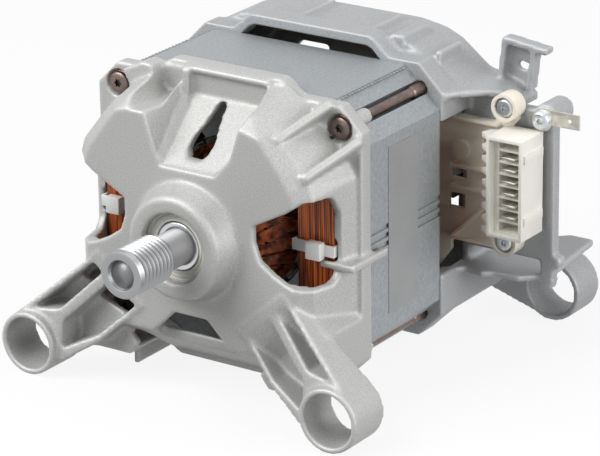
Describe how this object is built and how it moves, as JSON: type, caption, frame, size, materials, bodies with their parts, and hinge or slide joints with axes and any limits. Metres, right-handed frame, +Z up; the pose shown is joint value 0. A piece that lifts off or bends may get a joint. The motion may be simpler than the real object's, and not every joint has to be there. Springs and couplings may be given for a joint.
{
  "type": "washing machine motor",
  "caption": "Belt-drive universal motor with cast end shields, ribbed mounting arms with round lugs, laminated stator, grooved drive pulley and side connector.",
  "frame": {"origin": "on the shaft axis, in the middle of the pulley's belt track", "axes": "+Y runs along the shaft towards the back of the motor, +X is to the right seen from the pulley, +Z is up with the mounting lugs below the shaft"},
  "size_m": [0.2054, 0.2135, 0.1351],
  "materials": {
    "cast_light": "raw die casting, light warm grey, fine grain",
    "cast_mid": "raw die casting, mid grey, fine grain",
    "lamination": "stacked sheet steel with a thin varnish",
    "label": "blank satin grey film",
    "copper": "enamelled copper wire, glossy orange brown",
    "copper_dark": "enamelled and dipped copper wire, dark orange",
    "insulation": "greenish grey insulating sheet",
    "tie_white": "natural white nylon",
    "bronze_steel": "brown passivated steel",
    "bearing_steel": "ground bearing steel",
    "seal_cream": "cream rubber seal",
    "cream_plastic": "cream moulded plastic",
    "brown_plastic": "dark phenolic moulding",
    "connector_white": "cream white moulded plastic",
    "tinned_metal": "tinned brass",
    "zinc_steel": "zinc plated steel",
    "bright_steel": "turned and polished steel",
    "commutator_copper": "bare turned copper",
    "ferrite": "dark sintered ferrite",
    "carbon": "pressed carbon"
  },
  "bodies": {
    "housing": {"front_end_shield": "cast_light", "rear_end_shield": "cast_mid", "stator_core": "lamination", "side_label": "label", "field_coil_left": "copper", "field_coil_right": "copper", "field_winding_left": "copper", "field_winding_right": "copper", "coil_former_left": "insulation", "coil_former_right": "insulation", "cable_tie_left": "tie_white", "cable_tie_right": "tie_white", "tie_bolts": "bronze_steel", "front_bearing_outer_ring": "bearing_steel", "front_bearing_seals": "seal_cream", "rear_bearing_outer_ring": "bearing_steel", "rear_bearing_seals": "seal_cream", "wave_washer": "bearing_steel", "brush_carrier": "cream_plastic", "brush_holder_left": "brown_plastic", "brush_holder_right": "brown_plastic", "connector_block": "connector_white", "connector_blades": "tinned_metal", "carrier_screws": "zinc_steel", "earth_tab": "tinned_metal", "earth_screw": "zinc_steel", "tacho_coil": "copper", "tacho_cap": "cream_plastic", "brush_spring_left": "bright_steel", "brush_spring_right": "bright_steel"},
    "rotor": {"rotor_shaft": "bright_steel", "drive_pulley": "bright_steel", "armature_core": "lamination", "slot_wedges": "insulation", "armature_insulators": "insulation", "armature_winding_front": "copper_dark", "armature_winding_rear": "copper_dark", "commutator_hub": "brown_plastic", "commutator_bars": "commutator_copper", "tacho_magnet": "ferrite", "front_bearing_inner_ring": "bearing_steel", "rear_bearing_inner_ring": "bearing_steel"},
    "front_ball_cage": {"front_bearing_balls": "bearing_steel", "front_bearing_cage": "bearing_steel"},
    "rear_ball_cage": {"rear_bearing_balls": "bearing_steel", "rear_bearing_cage": "bearing_steel"},
    "brush_left": {"carbon_brush_left": "carbon"},
    "brush_right": {"carbon_brush_right": "carbon"}
  },
  "joints": [
    {"name": "rotor_spin", "type": "hinge", "parent": "housing", "child": "rotor", "pos_m": [0, 0, 0], "axis": [0, 1, 0], "continuous": true},
    {"name": "front_cage_spin", "type": "hinge", "parent": "housing", "child": "front_ball_cage", "pos_m": [0, 0.0305, 0], "axis": [0, 1, 0], "continuous": true},
    {"name": "rear_cage_spin", "type": "hinge", "parent": "housing", "child": "rear_ball_cage", "pos_m": [0, 0.163, 0], "axis": [0, 1, 0], "continuous": true},
    {"name": "brush_right_slide", "type": "slide", "parent": "housing", "child": "brush_right", "axis": [1, 0, 0], "range_m": [0, 0.008], "stiffness_N_per_m": 60, "springref_m": -0.002, "deforming": ["brush_spring_right"]},
    {"name": "brush_left_slide", "type": "slide", "parent": "housing", "child": "brush_left", "axis": [-1, 0, 0], "range_m": [0, 0.008], "stiffness_N_per_m": 60, "springref_m": -0.002, "deforming": ["brush_spring_left"]}
  ],
  "couplings": [
    {"joint": "front_cage_spin", "follows": "rotor_spin", "ratio": 0.386},
    {"joint": "rear_cage_spin", "follows": "rotor_spin", "ratio": 0.3705}
  ]
}
